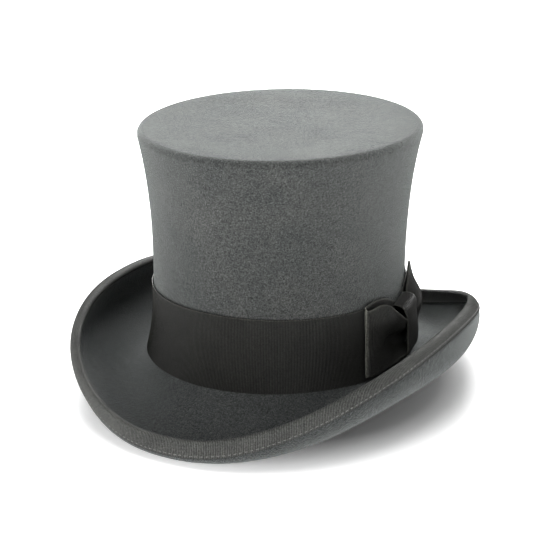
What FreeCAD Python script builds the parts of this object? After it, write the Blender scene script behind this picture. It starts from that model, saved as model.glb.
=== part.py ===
"""Flared felt top hat with a rolled brim, grosgrain trimmings, sweatband and satin lining.

Millimetres, +Z up. The hat stands on the front and back of its brim at Z = 0, with its front
towards -Y and the bow on the wearer's left, +X. Every horizontal section of the crown is an oval
with the same centre, and `crown_offset` says how far it stands out from the waist at each height.
"""
import FreeCAD
import Part
import Sketcher
import math
import os

Vector = FreeCAD.Vector
AROUND = 48          # points around the hat on each closed curve of the free-form pieces

DIMENSIONS = [
    # crown
    ("waist_half_width", 88.5, "crown's narrowest outer oval, across the head"),
    ("waist_half_length", 100.25, "the same, from front to back"),
    ("waist_height", 66.5, "height of the narrowest oval above the table"),
    ("crown_height", 192.7, "height of the tip above the table"),
    ("top_flare", 11.15, "how far the tip's edge stands out from the waist"),
    ("flare_power", 2.9, "how late the crown opens out"),
    ("foot_flare", 5.3, "how far the crown's foot stands out from the waist"),
    ("foot_height", 32.0, "where the crown's felt ends, behind the hat band"),
    ("break_height", 26.5, "brim's upper face where it leaves the crown, on average"),
    ("break_saddle", 0.8, "how far the break lies above that at front and back, below it at the sides"),
    ("crown_felt_thickness", 2.6, "stiffened felt"),
    ("tip_rounding", 4.5, "outside radius of the tip's edge"),
    ("tip_dish", 2.0, "how far the tip's middle lies below its edge"),
    ("dish_half_width", 88.0, "half-width of the dished oval"),
    ("dish_curve", 60.0, "vertical half-axis of the ellipsoid that dishes the tip"),
    # brim
    ("brim_felt_thickness", 2.5, "felt of the brim and its collar"),
    ("collar_height", 40.0, "top of the brim's collar, inside the crown"),
    ("felt_gap", 0.3, "play between the collar and the crown"),
    ("rim_half_width", 128.3, "rim's ridge, across the head"),
    ("rim_half_length", 165.6, "rim's ridge, from front to back"),
    ("rim_squareness", 2.27, "exponent of the rim's superellipse"),
    ("rim_side_height", 61.4, "ridge above the table at the sides"),
    ("rim_end_height", 18.2, "ridge above the table at front and back"),
    ("end_reach", 69.4, "brim's sweep at front and back: first handle, outwards"),
    ("end_dip", 48.1, "the same handle, downwards"),
    ("end_roll", 1.7, "second handle at front and back, outwards from the rim"),
    ("end_roll_drop", 3.3, "the same handle, downwards"),
    ("side_reach", 67.5, "brim's sweep at the sides: first handle, outwards"),
    ("side_dip", 0.0, "the same handle, downwards"),
    ("side_roll", 11.6, "second handle at the sides, outwards from the rim"),
    ("side_roll_drop", -8.0, "the same handle, downwards"),
    ("quarter_rim_rise", 2.4, "extra height of the rim midway between front and side"),
    ("quarter_reach", -17.65, "change of each handle midway between front and side"),
    ("quarter_dip", 9.45, "the same"),
    ("quarter_roll", 4.65, "the same"),
    ("quarter_roll_drop", 11.2, "the same"),
    ("skew_reach", -6.6, "share of that change that leans towards the sides"),
    ("skew_dip", 4.4, "the same"),
    ("skew_roll", 11.15, "the same"),
    ("skew_roll_drop", 1.35, "the same"),
    # trimmings
    ("ribbon_thickness", 0.6, "grosgrain"),
    ("binding_width", 11.0, "how far the binding reaches on each face of the brim"),
    ("band_clearance", 0.35, "lower edge of the hat band above the break"),
    ("band_top_height", 79.6, "upper edge of the hat band, on average"),
    ("band_top_saddle", 1.75, "how far it rises above that at front and back"),
    ("band_gap", 0.5, "room for the stitches under the hat band"),
    ("thread_radius", 0.22, "sewing thread"),
    # bow, on the wearer's left
    ("bow_height", 57.0, "height of the bow's middle"),
    ("bow_setback", 4.0, "how far the bow's middle lies behind the hat's"),
    ("bow_tilt", 4.5, "degrees by which the bow rises towards the back"),
    ("loop_length", 41.0, "bow's middle to the fold of a loop"),
    ("loop_half_height", 25.0, "half of the ribbon's width at the fold"),
    ("knot_half_width", 10.5, "half of the knot's width along the band"),
    ("knot_half_height", 21.5, "half of the knot's height"),
    ("knot_drop", 2.0, "how far the knot's middle lies below the bow's"),
    ("knot_depth", 13.6, "how far the knot stands off the band"),
    # inside
    ("leather_thickness", 0.9, "sweatband"),
    ("sweatband_foot", 26.4, "lower edge of the sweatband"),
    ("sweatband_top", 67.0, "upper edge of the sweatband"),
    ("sweatband_half_width", 85.1, "outer oval of the sweatband above the collar"),
    ("reed_radius", 0.75, "plastic reed in the sweatband's lower edge"),
    ("satin_thickness", 0.3, "lining"),
    ("lining_top", 185.0, "seam of the side lining and the tip lining"),
    ("piping_radius", 0.9, "piping on that seam"),
]

doc = FreeCAD.newDocument("top_hat")
sheet = doc.addObject("Spreadsheet::Sheet", "Sizes")
for row, (alias, value, note) in enumerate(DIMENSIONS, start=1):
    sheet.set(f"A{row}", alias)
    sheet.set(f"B{row}", str(value))
    sheet.set(f"C{row}", note)
    sheet.setAlias(f"B{row}", alias)
doc.recompute()

SUB_PARTS = []


def size(alias):
    """A driving dimension from the sheet."""
    return float(getattr(sheet, alias))


def finished(obj, label):
    """Marks a document object as a sub-part with its own label."""
    obj.Label = label
    SUB_PARTS.append(obj)
    return obj


# ---------------------------------------------------------------- ovals of the crown

def crown_offset(z):
    """How far the crown's outer oval at height z stands out from the waist oval."""
    above = z - size("waist_height")
    if above > 0:
        rise = size("crown_height") - size("waist_height")
        return size("top_flare") * (above / rise) ** size("flare_power")
    drop = size("waist_height") - size("break_height")
    return size("foot_flare") * (above / drop) ** 2


def crown_offset_expression(z):
    """The same, as an expression on the sheet."""
    above = f"(({z}) - Sizes.waist_height)"
    rise = "(Sizes.crown_height - Sizes.waist_height)"
    drop = "(Sizes.waist_height - Sizes.break_height)"
    return (f"({above} > 0 ? Sizes.top_flare * abs({above} / {rise}) ^ Sizes.flare_power"
            f" : Sizes.foot_flare * ({above} / {drop}) ^ 2)")


def oval_point(turn, z, outwards):
    """A point at angle `turn`, `outwards` from the crown's outer oval at height z."""
    grow = crown_offset(z) + outwards
    return Vector((size("waist_half_width") + grow) * math.cos(turn),
                  (size("waist_half_length") + grow) * math.sin(turn), z)


def oval(name, z, outwards):
    """An ellipse that follows the crown's outer oval; z and outwards are expressions."""
    edge = doc.addObject("Part::Ellipse", name)
    edge.Placement.Rotation = FreeCAD.Rotation(Vector(0, 0, 1), 90)
    offset = crown_offset_expression(z)
    edge.setExpression("Placement.Base.z", z)
    edge.setExpression("MajorRadius", f"Sizes.waist_half_length + {offset} + {outwards}")
    edge.setExpression("MinorRadius", f"Sizes.waist_half_width + {offset} + {outwards}")
    return edge


def oval_loft(name, bottom, top, count, outwards):
    """A solid loft through ovals that follow the crown from height bottom to height top."""
    sections = []
    for step in range(count):
        share = step / (count - 1)
        z = f"({bottom}) + {share:.4f} * (({top}) - ({bottom}))"
        sections.append(oval(f"{name}_oval_{step}", z, outwards))
    loft = doc.addObject("Part::Loft", name)
    loft.Sections = sections
    loft.Solid = True
    return loft


def cut(name, base, tool):
    """base minus tool."""
    result = doc.addObject("Part::Cut", name)
    result.Base = base
    result.Tool = tool
    return result


def oval_ring(name, bottom, top, count, inside, thickness):
    """A tube wall that follows the crown; inside is its inner face's offset, an expression."""
    outer = oval_loft(f"{name}_outer", bottom, top, count, f"({inside} + {thickness})")
    inner = oval_loft(f"{name}_inner", bottom, top, count, f"({inside})")
    return cut(name, outer, inner)


# ---------------------------------------------------------------- free-form sheets

def spline_row(points, closed):
    """Poles, knots and multiplicities of the cubic spline through evenly numbered points."""
    curve = Part.BSplineCurve()
    last = len(points) if closed else len(points) - 1
    curve.interpolate(Points=points, PeriodicFlag=closed,
                      Parameters=[float(i) for i in range(last + 1)])
    return curve.getPoles(), curve.getKnots(), curve.getMultiplicities()


def surface(grid, closed):
    """A surface through grid[row][column], closed along each row or open; two rows are ruled."""
    rows = [spline_row(row, closed) for row in grid]
    knots, mults = rows[0][1], rows[0][2]
    columns = list(zip(*[row[0] for row in rows]))
    if len(grid) == 2:
        across_knots, across_mults, degree = [0.0, 1.0], [2, 2], 1
        poles = [list(column) for column in columns]
    else:
        crossed = [spline_row(list(column), False) for column in columns]
        poles = [row[0] for row in crossed]
        across_knots, across_mults, degree = crossed[0][1], crossed[0][2], 3
    made = Part.BSplineSurface()
    made.buildFromPolesMultsKnots(poles, mults, across_mults, knots, across_knots,
                                  closed, False, 3, degree)
    return made.toShape()


def closed_solid(faces):
    """Sews faces that meet edge to edge into one solid with an outward skin."""
    shell = Part.makeShell(faces)
    shell.sewShape()
    solid = Part.makeSolid(shell)
    if solid.Volume < 0:
        solid.reverse()
    return solid


def normals(grid, closed):
    """Unit normals at the grid's points, from its neighbours along and across."""
    made = []
    count = len(grid[0])
    for r, row in enumerate(grid):
        before, after = grid[max(r - 1, 0)], grid[min(r + 1, len(grid) - 1)]
        line = []
        for c in range(count):
            if closed:
                along = row[(c + 1) % count] - row[c - 1]
            else:
                along = row[min(c + 1, count - 1)] - row[max(c - 1, 0)]
            line.append(along.cross(after[c] - before[c]).normalize())
        made.append(line)
    return made


def shifted(grid, directions, distance):
    """The grid moved along its normals."""
    return [[p + n * distance for p, n in zip(row, line)]
            for row, line in zip(grid, directions)]


def skin_solid(outer, inner, closed):
    """The solid between two grids of the same layout."""
    faces = [surface(outer, closed), surface(inner, closed),
             surface([outer[0], inner[0]], closed), surface([outer[-1], inner[-1]], closed)]
    if not closed:
        for end in (0, -1):
            faces.append(surface([[row[end] for row in outer],
                                  [row[end] for row in inner]], False))
    return closed_solid(faces)


def thick_sheet(grid, thickness, closed):
    """A sheet of cloth or felt of that thickness with the grid as its middle surface."""
    directions = normals(grid, closed)
    return skin_solid(shifted(grid, directions, thickness / 2),
                      shifted(grid, directions, -thickness / 2), closed)


def closed_thread(path, radius):
    """A closed thread or rod of eight-sided section along a ring of points."""
    count, sides = len(path), 8
    middle = sum(path, Vector()) * (1.0 / count)
    rows = [[] for _ in range(sides)]
    for i, point in enumerate(path):
        along = (path[(i + 1) % count] - path[i - 1]).normalize()
        away = point - middle
        away = (away - along * away.dot(along)).normalize()
        up = along.cross(away)
        for side, row in enumerate(rows):
            angle = 2 * math.pi * side / sides
            row.append(point + away * (radius * math.cos(angle)) + up * (radius * math.sin(angle)))
    return closed_solid([surface([rows[side - 1], rows[side]], True) for side in range(sides)])


def free_form(label, shape):
    """A sub-part whose shape is set directly."""
    obj = doc.addObject("Part::Feature", label)
    obj.Shape = shape
    obj.Placement = FreeCAD.Placement()
    return finished(obj, label)


def turns():
    """Angles of the points around the hat, from the wearer's left."""
    return [2 * math.pi * i / AROUND for i in range(AROUND)]


def oval_rows(profile):
    """Rows of points around the hat, one for each (height, outwards) of a profile."""
    return [[oval_point(turn, z, outwards) for turn in turns()] for z, outwards in profile]


# ---------------------------------------------------------------- crown

def make_crown():
    """Blocked felt crown, tip and side in one, with a rounded edge and a shallow dish."""
    foot, top = "Sizes.foot_height", "Sizes.crown_height"
    felt = "Sizes.crown_felt_thickness"
    outside = oval_loft("crown_outside", foot, top, 12, "0")
    hollow = oval_loft("crown_hollow", foot, f"{top} - {felt}", 12, f"(-{felt})")

    def dish(name, lower):
        """Ellipsoid whose lowest point lies tip_dish + lower under the tip's edge."""
        ball = doc.addObject("Part::Ellipsoid", name)
        chord = "sqrt(1 - ((Sizes.dish_curve - Sizes.tip_dish) / Sizes.dish_curve) ^ 2)"
        stretch = "Sizes.waist_half_length / Sizes.waist_half_width"
        ball.setExpression("Radius1", "Sizes.dish_curve")
        ball.setExpression("Radius2", f"Sizes.dish_half_width / {chord}")
        ball.setExpression("Radius3", f"Sizes.dish_half_width / {chord} * {stretch}")
        ball.setExpression("Placement.Base.z",
                           f"{top} + Sizes.dish_curve - Sizes.tip_dish - {lower}")
        return ball

    dished_outside = cut("crown_dished", outside, dish("tip_dish_outside", "0"))
    dished_hollow = cut("hollow_dished", hollow, dish("tip_dish_inside", felt))
    doc.recompute()
    rounded = doc.addObject("Part::Fillet", "crown_rounded")
    rounded.Base = dished_outside
    radius = size("tip_rounding")
    rounded.Edges = [(edge_at(dished_outside.Shape, size("crown_height")), radius, radius)]
    finished(cut("crown", rounded, dished_hollow), "crown_felt")


def edge_at(shape, z):
    """Number of the longest edge that lies wholly at height z."""
    found = [(edge.Length, number) for number, edge in enumerate(shape.Edges, start=1)
             if abs(edge.BoundBox.ZMin - z) < 0.01 and abs(edge.BoundBox.ZMax - z) < 0.01]
    return max(found)[1]


# ---------------------------------------------------------------- brim and its binding

def sideways(turn):
    """1 at the wearer's sides, 0 at front and back, on the rim's superellipse."""
    c = abs(math.cos(turn)) ** size("rim_squareness")
    s = abs(math.sin(turn)) ** size("rim_squareness")
    return c / (c + s)


def blend(turn, ends, sides, quarter, skew=0.0):
    """A brim dimension between its values at front and back, at the sides and in between."""
    side = sideways(turn)
    between = 4 * side * (1 - side)
    return (ends * (1 - side) + sides * side
            + between * (quarter + skew * (2 * side - 1)))


def handle(turn, name):
    """Length of one of the brim's four sweep handles at that turn."""
    return blend(turn, size(f"end_{name}"), size(f"side_{name}"),
                 size(f"quarter_{name}"), size(f"skew_{name}"))


def saddle(turn, height, rise):
    """A height that is `rise` more at front and back and `rise` less at the sides."""
    return height - rise * math.cos(2 * turn)


def break_point(turn, outwards, above):
    """A point beside the line where the brim's upper face leaves the crown."""
    point = oval_point(turn, size("break_height"), outwards)
    point.z = saddle(turn, size("break_height"), size("break_saddle")) + above
    return point


def rim_point(turn):
    """A point on the rim's ridge."""
    c, s = math.cos(turn), math.sin(turn)
    power = size("rim_squareness")
    reach = (abs(c) ** power + abs(s) ** power) ** (-1 / power)
    return Vector(size("rim_half_width") * c * reach, size("rim_half_length") * s * reach,
                  blend(turn, size("rim_end_height"), size("rim_side_height"),
                        size("quarter_rim_rise")))


def brim_underside(turn, share):
    """A point on the brim's lowest skin, from the crown (share 0) to the rim (share 1)."""
    start = break_point(turn, 2.0, -size("brim_felt_thickness"))
    ridge = rim_point(turn)
    outwards = Vector(ridge.x - start.x, ridge.y - start.y, 0).normalize()
    up = Vector(0, 0, 1)
    end = ridge + outwards * 1.2 - up * 1.2
    first = start + outwards * handle(turn, "reach") - up * handle(turn, "dip")
    second = end + outwards * handle(turn, "roll") - up * handle(turn, "roll_drop")
    rest = 1 - share
    return (start * rest ** 3 + first * (3 * share * rest ** 2)
            + second * (3 * share ** 2 * rest) + end * share ** 3)


def brim_column(turn, from_rim):
    """Points on the underside at those distances from the rim, then evenly in to the crown."""
    fine = [brim_underside(turn, i / 80.0) for i in range(80, -1, -1)]
    reached = [0.0]
    for a, b in zip(fine, fine[1:]):
        reached.append(reached[-1] + (b - a).Length)
    inner_steps = 7
    remaining = reached[-1] - from_rim[-1]
    wanted = from_rim + [from_rim[-1] + remaining * (i + 1) / inner_steps
                         for i in range(inner_steps)]
    column, k = [], 0
    for distance in wanted:
        while k < len(fine) - 2 and reached[k + 1] < distance:
            k += 1
        share = (distance - reached[k]) / (reached[k + 1] - reached[k])
        column.append(fine[k] + (fine[k + 1] - fine[k]) * share)
    return column


def make_brim():
    """Felt brim with a collar that stands up inside the crown, and its folded binding."""
    width = size("binding_width")
    from_rim = [0.0, 0.14 * width, 0.36 * width, 0.68 * width, width]
    columns = [brim_column(turn, from_rim) for turn in turns()]
    underside = [list(row) for row in zip(*columns)]
    directions = normals(underside, True)
    if directions[-1][0].z < 0:
        directions = [[n * -1 for n in line] for line in directions]
    felt, ribbon = size("brim_felt_thickness"), size("ribbon_thickness")
    middle = shifted(underside, directions, felt / 2)

    collar_middle = -(size("crown_felt_thickness") + size("felt_gap") + felt / 2)
    foot, top = size("foot_height"), size("collar_height")
    bend = [[break_point(turn, out, above) for turn in turns()]
            for out, above in ((-1.6, -0.1), (-3.2, 2.2))]
    bend += oval_rows([(foot, collar_middle), ((foot + top) / 2, collar_middle),
                       (top, collar_middle)])
    felt_middle = middle + bend
    free_form("brim_felt", thick_sheet(felt_middle, felt, True))

    # The binding wraps the last rows of the felt: down one face, round the ridge, up the other.
    rows = len(from_rim)
    rim_normals = normals(felt_middle, True)[:rows]
    if rim_normals[rows - 1][0].x > 0:
        rim_normals = [[n * -1 for n in line] for line in rim_normals]
    rim_middle = felt_middle[:rows]
    beyond = [(a - b).normalize() for a, b in zip(rim_middle[0], rim_middle[1])]

    def wrap(off_felt):
        """Rows of one skin of the binding, off_felt outside the felt's faces."""
        reach = felt / 2 + off_felt
        inner_face = shifted(rim_middle, rim_normals, reach)
        outer_face = shifted(rim_middle, rim_normals, -reach)
        over = []
        for angle in (45, 90, 135):
            side = math.cos(math.radians(angle)) * reach
            out = math.sin(math.radians(angle)) * reach * 0.8 + 0.15
            over.append([m + n * side + o * out
                         for m, n, o in zip(rim_middle[0], rim_normals[0], beyond)])
        return inner_face[::-1] + over + outer_face

    gap = 0.05
    free_form("brim_binding", skin_solid(wrap(gap + ribbon), wrap(gap), True))

    thread = size("thread_radius")
    seam_row = 3
    lift = felt / 2 + gap + ribbon + thread + 0.05
    seams = [[m + n * (lift * face)
              for m, n in zip(rim_middle[seam_row], rim_normals[seam_row])]
             for face in (1, -1)]
    free_form("binding_stitching",
              Part.makeCompound([closed_thread(seam, thread) for seam in seams]))


# ---------------------------------------------------------------- hat band and bow

def band_height(turn, share):
    """Height of the hat band's lower edge (share 0), its upper edge (1) or between."""
    low = saddle(turn, size("break_height"), size("break_saddle")) + size("band_clearance")
    high = saddle(turn, size("band_top_height"), size("band_top_saddle"))
    return low + (high - low) * share


def make_hat_band():
    """Wide grosgrain band around the foot of the crown, and the threads that hold it."""
    middle_offset = size("band_gap") + size("ribbon_thickness") / 2
    middle = [[oval_point(turn, band_height(turn, level / 8), middle_offset) for turn in turns()]
              for level in range(9)]
    free_form("hat_band", thick_sheet(middle, size("ribbon_thickness"), True))
    thread = size("thread_radius")
    seam_height = (size("foot_height") + size("collar_height")) / 2
    seam = [oval_point(turn, seam_height, thread + 0.03) for turn in turns()]
    free_form("headline_stitching", closed_thread(seam, thread))

    tacks = []
    outside = size("band_gap") + size("ribbon_thickness")
    for share in (0.03, 0.97):
        for turn in (math.pi / 2, 3 * math.pi / 4, math.pi, 5 * math.pi / 4, 3 * math.pi / 2):
            height = band_height(turn, share)
            here = oval_point(turn, height, outside + thread + 0.05)
            along = oval_point(turn + 0.01, height, outside) - oval_point(turn, height, outside)
            tacks.append(Part.makeCylinder(thread, 2.4, here, along))
    free_form("band_tacks", Part.makeCompound(tacks))


def beside_band(along, off, lift):
    """A point of the bow: along the band from its middle (front is negative), off its face, up."""
    tilt = math.radians(size("bow_tilt"))
    turned = size("bow_setback") + along * math.cos(tilt) - lift * math.sin(tilt)
    z = size("bow_height") + along * math.sin(tilt) + lift * math.cos(tilt)
    outside = size("band_gap") + size("ribbon_thickness")
    return oval_point(turned / size("waist_half_length"), z, outside + off)


# A loop's section from the bow's middle out to the fold and back: share of the loop's length,
# distance off the band, share of the ribbon's width.
LOOP_SECTION = [
    (0.10, 1.6, 0.80), (0.27, 1.4, 0.88), (0.50, 1.2, 0.98), (0.75, 1.2, 1.00),
    (0.93, 1.6, 1.00), (1.00, 3.3, 1.00), (0.94, 5.2, 1.00), (0.78, 6.9, 1.00),
    (0.60, 7.9, 0.97), (0.44, 9.2, 0.80), (0.32, 10.6, 0.55), (0.20, 11.6, 0.36),
    (0.08, 11.8, 0.32),
]


def loop_grid(side):
    """Middle surface of a bow loop: flat under layer, fold, and a gathered upper layer."""
    length, half_height = size("loop_length"), size("loop_half_height")
    grid = []
    for level in range(7):
        share = level / 3.0 - 1.0
        grid.append([beside_band(side * out * length, off, share * half_height * wide)
                     for out, off, wide in LOOP_SECTION])
    return grid


def knot_outline():
    """Closed section of the knot, (off the band, up): flat behind, bulging in front."""
    high, deep, near = size("knot_half_height"), size("knot_depth"), 0.75
    front = []
    for step in range(1, 14):
        angle = math.pi * (step / 14.0 - 0.5)
        front.append((near + (deep - near) * math.cos(angle) ** 0.75, high * math.sin(angle)))
    behind = [(near, high * (0.84 - 0.14 * step)) for step in range(13)]
    behind = [(near + 0.45, 0.95 * high)] + behind + [(near + 0.45, -0.95 * high)]
    return front + behind


def make_bow():
    """Flat tailored bow: two loops and the knot wrapped round their middle."""
    ribbon = size("ribbon_thickness")
    free_form("bow_front_loop", thick_sheet(loop_grid(-1), ribbon, False))
    free_form("bow_back_loop", thick_sheet(loop_grid(1), ribbon, False))

    half = size("knot_half_width")
    drop = size("knot_drop")
    grid = [[beside_band(along, off, lift - drop) for off, lift in knot_outline()]
            for along in (-half, -0.5 * half, 0.0, 0.5 * half, half)]
    free_form("bow_knot", thick_sheet(grid, ribbon, True))

    thread = size("thread_radius")
    tacks = []
    for along in (-18.0, 16.0):
        for lift in (-20.0, 20.0):
            here = beside_band(along, thread + 0.1, lift)
            there = beside_band(along + 2.4, thread + 0.1, lift)
            tacks.append(Part.makeCylinder(thread, 2.4, here, there - here))
    free_form("bow_tacks", Part.makeCompound(tacks))


# ---------------------------------------------------------------- sweatband

def sweatband_offset(z):
    """Outer face of the sweatband, from the crown's outer oval at that height."""
    straight = size("sweatband_half_width") - size("waist_half_width")
    foot = size("sweatband_foot")
    spread = 1.8 * max(0.0, (size("collar_height") - z) / (size("collar_height") - foot)) ** 1.5
    return straight + spread - crown_offset(z)


def make_sweatband():
    """Leather sweatband slit at the back, with its reed, tape, seam and small ribbon bow."""
    leather = size("leather_thickness")
    foot, top = size("sweatband_foot"), size("sweatband_top")
    heights = [foot + (top - foot) * share for share in (0, 0.12, 0.25, 0.4, 0.6, 0.8, 1.0)]
    outer = oval_rows([(z, sweatband_offset(z)) for z in heights])
    inner = oval_rows([(z, sweatband_offset(z) - leather) for z in heights])
    ring = skin_solid(outer, inner, True)
    slit = Part.makeBox(0.6, 12, top - foot + 2,
                        Vector(-0.3, size("waist_half_length") - 10, foot - 1))
    free_form("sweatband", ring.cut(slit))

    reed = size("reed_radius")
    reed_height = foot + 1.4
    reed_off = sweatband_offset(reed_height) + reed + 0.06
    path = [oval_point(turn, reed_height, reed_off) for turn in turns()]
    free_form("sweatband_reed", closed_thread(path, reed))

    tape = 0.3
    tape_low = [(reed_height - reed - 0.35, sweatband_offset(foot) + 0.4),
                (reed_height - 0.55 * reed, sweatband_offset(reed_height) + 2 * reed + 0.3),
                (reed_height + 0.8, sweatband_offset(reed_height) + 2 * reed + 0.15)]
    tape_high = [(z, sweatband_offset(z) + 0.5) for z in (reed_height + 2.4, 32.0, 34.0, 36.0)]
    free_form("sweatband_tape", thick_sheet(oval_rows(tape_low + tape_high), tape, True))

    thread = size("thread_radius")
    seam = [oval_point(turn, foot + 3.2, sweatband_offset(foot + 3.2) - leather - thread - 0.05)
            for turn in turns()]
    free_form("sweatband_stitching", closed_thread(seam, thread))

    # Small bow over the slit at the back: two leaves and a knot, flat against the leather.
    def inside_back(across, off, z):
        """A point on the sweatband's inner face at the back, off that face."""
        turn = math.pi / 2 + across / size("waist_half_width")
        return oval_point(turn, z, sweatband_offset(z) - leather - off)

    middle_height = foot + 7.5
    pieces = []
    for side in (-1, 1):
        grid = []
        for level in (-1.0, -0.5, 0.0, 0.5, 1.0):
            row = []
            for step in range(6):
                share = step / 5.0
                half = 1.2 + 2.8 * math.sin(math.pi * min(1.0, 0.15 + 0.75 * share))
                row.append(inside_back(side * (1.6 + 11.0 * share), 0.75 + 0.7 * math.sin(
                    math.pi * share), middle_height + level * half))
            grid.append(row)
        pieces.append(thick_sheet(grid, 0.5, False))
    knot = [[inside_back(across, off, middle_height + lift) for across, off, lift in
             ((-1.3, 1.1, level), (-0.5, 1.6, level), (0.5, 1.6, level), (1.3, 1.1, level))]
            for level in (-2.2, -0.8, 0.8, 2.2)]
    pieces.append(thick_sheet(knot, 0.5, False))
    free_form("sweatband_bow", Part.makeCompound(pieces))


# ---------------------------------------------------------------- lining

def make_lining():
    """Satin lining: a side piece tucked behind the sweatband, a tip piece, and piping."""
    gap = "(-Sizes.crown_felt_thickness - Sizes.satin_thickness - 0.6)"
    finished(oval_ring("side_lining", "Sizes.collar_height + 4", "Sizes.lining_top", 14,
                       gap, "Sizes.satin_thickness"), "lining_side")

    body = doc.addObject("PartDesign::Body", "tip_lining")
    sketch = body.newObject("Sketcher::SketchObject", "tip_lining_outline")
    plane = [f for f in body.Origin.OriginFeatures if f.Role == "XY_Plane"][0]
    sketch.AttachmentSupport = [(plane, "")]
    sketch.MapMode = "FlatFace"
    reach = (crown_offset(size("lining_top")) - size("crown_felt_thickness") - 1.6)
    half_length = size("waist_half_length") + reach
    half_width = size("waist_half_width") + reach
    sketch.addGeometry(Part.Ellipse(Vector(0, half_length, 0), Vector(half_width, 0, 0), Vector()))
    sketch.exposeInternalGeometry(0)
    sketch.addConstraint(Sketcher.Constraint("Coincident", 0, 3, -1, 1))
    sketch.addConstraint(Sketcher.Constraint("Vertical", 1))
    inset = f"{crown_offset_expression("Sizes.lining_top")} - Sizes.crown_felt_thickness - 1.6"
    for line, name, waist in ((1, "long_axis", "Sizes.waist_half_length"),
                              (2, "short_axis", "Sizes.waist_half_width")):
        number = sketch.addConstraint(Sketcher.Constraint(
            "Distance", line, 2 * (half_length if line == 1 else half_width)))
        sketch.renameConstraint(number, name)
        sketch.setExpression(f"Constraints.{name}", f"2 * ({waist} + {inset})")
    sketch.setExpression("AttachmentOffset.Base.z", "Sizes.lining_top + 0.3")
    pad = body.newObject("PartDesign::Pad", "tip_lining_cloth")
    pad.Profile = sketch
    pad.setExpression("Length", "Sizes.satin_thickness")
    finished(body, "lining_tip")

    piping = size("piping_radius")
    off = -size("crown_felt_thickness") - size("satin_thickness") - 0.7 - piping
    height = size("lining_top") - piping - 0.1
    path = [oval_point(turn, height, off) for turn in turns()]
    free_form("lining_piping", closed_thread(path, piping))


def make_size_label():
    """Blank woven label on the sweatband's inner face, beside the back."""
    leather = size("leather_thickness")
    grid = []
    for level in range(4):
        z = size("sweatband_foot") + 9.0 + 16.0 * level / 3
        grid.append([oval_point(math.pi / 2 + 0.30 + 0.05 * step, z,
                                sweatband_offset(z) - leather - 0.28) for step in range(5)])
    free_form("size_label", thick_sheet(grid, 0.3, False))


make_crown()
make_brim()
make_hat_band()
make_bow()
make_sweatband()
make_lining()
make_size_label()
doc.recompute()

for obj in doc.Objects:
    if "Invalid" in obj.State or "Error" in obj.State:
        raise RuntimeError(f"{obj.Name} failed: {obj.State}")
for obj in SUB_PARTS:
    shape = obj.Shape
    if shape.isNull() or not shape.isValid() or not shape.Solids:
        raise RuntimeError(f"{obj.Label} has no valid solid")

os.makedirs("parts", exist_ok=True)
for obj in SUB_PARTS:
    obj.Shape.exportStep(f"parts/{obj.Label}.step")
    box = obj.Shape.BoundBox
    print(f"{obj.Label:20s} {obj.Shape.Volume:10.1f} mm3  {len(obj.Shape.Solids)} solids  "
          f"z {box.ZMin:6.2f} to {box.ZMax:6.2f}")
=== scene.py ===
"""Looks of a grey felt top hat: felt, ribbed ribbon, bow, leather sweatband and satin lining.

Shapes are worked out in millimetres in the CAD's frame (+Z up, front towards -Y, bow on +X) and
turned into metres when a mesh is made. Angles around the hat are measured from +X.
"""
import math

import bpy
import numpy as np
from mathutils import Matrix, Vector


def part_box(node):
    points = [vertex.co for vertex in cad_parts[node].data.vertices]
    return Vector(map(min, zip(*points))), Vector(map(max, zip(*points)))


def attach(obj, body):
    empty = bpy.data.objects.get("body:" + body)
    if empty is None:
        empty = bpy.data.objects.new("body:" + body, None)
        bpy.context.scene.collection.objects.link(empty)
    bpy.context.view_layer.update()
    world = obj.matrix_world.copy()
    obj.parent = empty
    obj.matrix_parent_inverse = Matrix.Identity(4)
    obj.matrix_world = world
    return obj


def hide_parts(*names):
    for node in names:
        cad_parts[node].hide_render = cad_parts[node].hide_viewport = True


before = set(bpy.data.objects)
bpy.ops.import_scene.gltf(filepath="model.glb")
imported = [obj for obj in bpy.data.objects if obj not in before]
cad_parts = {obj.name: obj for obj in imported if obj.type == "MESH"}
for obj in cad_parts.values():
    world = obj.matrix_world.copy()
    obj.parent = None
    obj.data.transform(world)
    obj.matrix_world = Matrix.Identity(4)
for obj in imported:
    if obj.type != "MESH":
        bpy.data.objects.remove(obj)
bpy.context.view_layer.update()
MM = 0.001
TURN = 2 * math.pi

# ------------------------------------------------------------------ sizes, in millimetres
def heights(node):
    """Lowest and highest point of a CAD node."""
    low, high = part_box(node)
    return round(low.z / MM, 3), round(high.z / MM, 3)


# the frame gives the heights of whole pieces; the rest repeats the sheet of sizes in part.py
CROWN_FOOT, CROWN_TOP = heights("crown_felt")
LINING_FOOT, LINING_TOP = heights("lining_side")
SWEAT_FOOT = heights("sweatband")[0]
REED_Z, SEAM_Z = sum(heights("sweatband_reed")) / 2, sum(heights("sweatband_stitching")) / 2
WAIST_X, WAIST_Y, WAIST_Z = 88.5, 100.25, 66.5     # narrowest outer oval of the crown
TOP_FLARE, FLARE_POWER, FOOT_FLARE = 11.15, 2.9, 5.3
BREAK_Z = 26.5                                     # where the brim leaves the crown
CROWN_FELT, BRIM_FELT, RIBBON = 2.6, 2.5, 0.6
RIM_X, RIM_Y, RIM_POWER = 128.3, 165.6, 2.27
RIM_RISE = (18.2, 61.4, 2.4)                       # ridge above the table: ends, sides, quarter
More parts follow.
